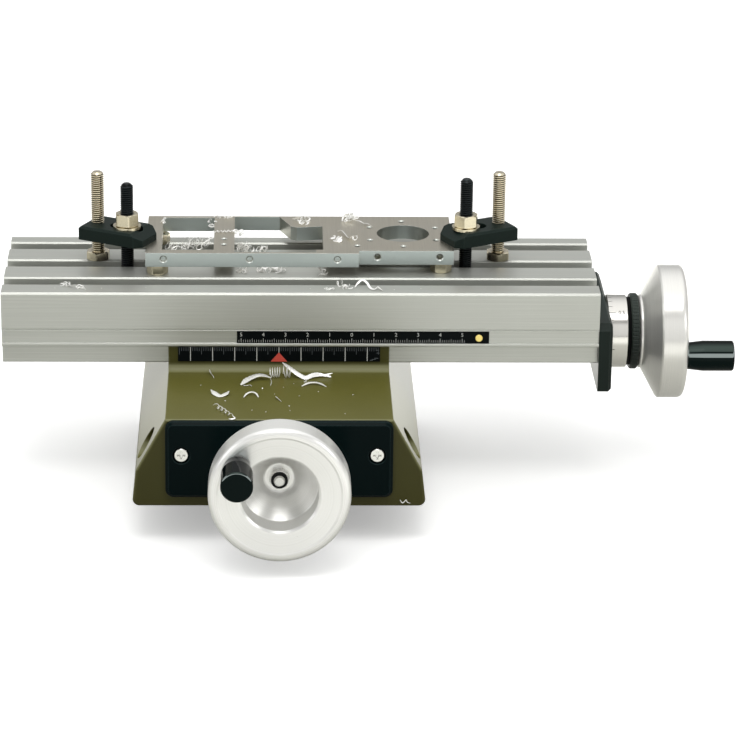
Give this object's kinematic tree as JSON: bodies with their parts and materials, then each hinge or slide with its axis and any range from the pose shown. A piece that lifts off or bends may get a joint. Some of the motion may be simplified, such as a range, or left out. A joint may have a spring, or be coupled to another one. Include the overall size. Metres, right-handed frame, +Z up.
{
  "type": "compound cross table of a benchtop milling machine",
  "caption": "Bench mill compound table: T-slot table on a dovetail saddle and bed, two handwheel leadscrews, and a workpiece held by step clamps.",
  "frame": {"origin": "centre of the bed's underside, on the bench face", "axes": "+X along the table's long travel towards its handwheel, -Y towards the operator, +Z up"},
  "size_m": [0.3338, 0.2118, 0.1379],
  "materials": {
    "bed_iron": "machined cast iron, lightly oiled",
    "ground_steel": "ground",
    "screw_steel": "rolled thread, bright",
    "bronze": "machined bearing bronze",
    "gib_brass": "rolled strip",
    "black_screw": "black oxide",
    "bright_screw": "bright zinc plating",
    "olive_casting": "fine textured olive enamel, semi-gloss",
    "black_panel": "smooth black, glossy",
    "ruler_black": "black anodised scale with white graduations",
    "pointer_red": "matt red",
    "rivet_brass": "polished",
    "table_aluminium": "natural anodised extrusion, drawn along its length",
    "end_plate_black": "satin black",
    "turned_aluminium": "fine turned, concentric marks",
    "dial_aluminium": "satin turned with black graduations",
    "ring_black": "knurled black",
    "friction_rubber": "matt",
    "grip_black": "polished black phenolic",
    "work_aluminium": "milled plate",
    "nickel": "nickel plated, slightly warm",
    "clamp_black": "black oxide steel, satin"
  },
  "bodies": {
    "base": {"base_plate": "bed_iron", "y_way": "ground_steel", "y_way_screws": "black_screw", "y_nut": "bronze", "y_nut_screws": "black_screw"},
    "saddle": {"saddle": "olive_casting", "front_panel": "black_panel", "panel_screws": "bright_screw", "saddle_ruler": "ruler_black", "pointer": "pointer_red", "y_bush": "bronze", "x_way_front": "ground_steel", "x_way_rear": "ground_steel", "x_way_screws": "black_screw", "x_nut": "bronze", "x_nut_screws": "black_screw", "y_gib": "gib_brass", "y_gib_screws": "black_screw", "y_gib_nuts": "bright_screw"},
    "y_screw": {"y_leadscrew": "screw_steel", "y_handwheel": "turned_aluminium", "y_wheel_nut": "bright_screw", "y_handle_pin": "screw_steel"},
    "y_grip": {"y_handle": "grip_black"},
    "y_dial_set": {"y_dial": "dial_aluminium", "y_knurled_ring": "ring_black", "y_friction_ring": "friction_rubber"},
    "table": {"table": "table_aluminium", "x_gib": "gib_brass", "x_gib_screws": "black_screw", "x_gib_nuts": "bright_screw", "table_ruler": "ruler_black", "ruler_rivet": "rivet_brass", "end_plate": "end_plate_black", "end_plate_screws": "black_screw", "x_bush": "bronze", "workpiece": "work_aluminium", "spacer_nuts": "nickel", "clamp_left": "clamp_black", "clamp_right": "clamp_black", "jack_bolts": "nickel", "clamp_studs": "black_screw", "t_nuts": "ground_steel", "clamp_washers": "nickel", "clamp_nuts": "nickel"},
    "x_screw": {"x_leadscrew": "screw_steel", "x_handwheel": "turned_aluminium", "x_wheel_nut": "bright_screw", "x_handle_pin": "screw_steel"},
    "x_grip": {"x_handle": "grip_black"},
    "x_dial_set": {"x_dial": "dial_aluminium", "x_knurled_ring": "ring_black", "x_friction_ring": "friction_rubber"}
  },
  "joints": [
    {"name": "saddle_slide", "type": "slide", "parent": "base", "child": "saddle", "axis": [0, 1, 0], "range_m": [-0.0325, 0.0325]},
    {"name": "y_wheel_turn", "type": "hinge", "parent": "saddle", "child": "y_screw", "pos_m": [0, -0.1032, 0.039], "axis": [0, 1, 0], "range_deg": [-7801, 7801]},
    {"name": "y_grip_spin", "type": "hinge", "parent": "y_screw", "child": "y_grip", "pos_m": [-0.01827, -0.1412, 0.05179], "axis": [0, 1, 0], "continuous": true},
    {"name": "y_dial_turn", "type": "hinge", "parent": "y_screw", "child": "y_dial_set", "pos_m": [0, -0.1032, 0.039], "axis": [0, 1, 0], "continuous": true},
    {"name": "table_slide", "type": "slide", "parent": "saddle", "child": "table", "axis": [1, 0, 0], "range_m": [-0.088, 0.082]},
    {"name": "x_wheel_turn", "type": "hinge", "parent": "table", "child": "x_screw", "pos_m": [0.1513, 0, 0.064], "axis": [1, 0, 0], "range_deg": [-21121, 19681]},
    {"name": "x_grip_spin", "type": "hinge", "parent": "x_screw", "child": "x_grip", "pos_m": [0.1895, -0.02191, 0.05982], "axis": [1, 0, 0], "continuous": true},
    {"name": "x_dial_turn", "type": "hinge", "parent": "x_screw", "child": "x_dial_set", "pos_m": [0.1513, 0, 0.064], "axis": [1, 0, 0], "continuous": true}
  ],
  "couplings": [
    {"joint": "y_wheel_turn", "follows": "saddle_slide", "rad_per_m": 4188.8},
    {"joint": "x_wheel_turn", "follows": "table_slide", "rad_per_m": 4188.8}
  ]
}
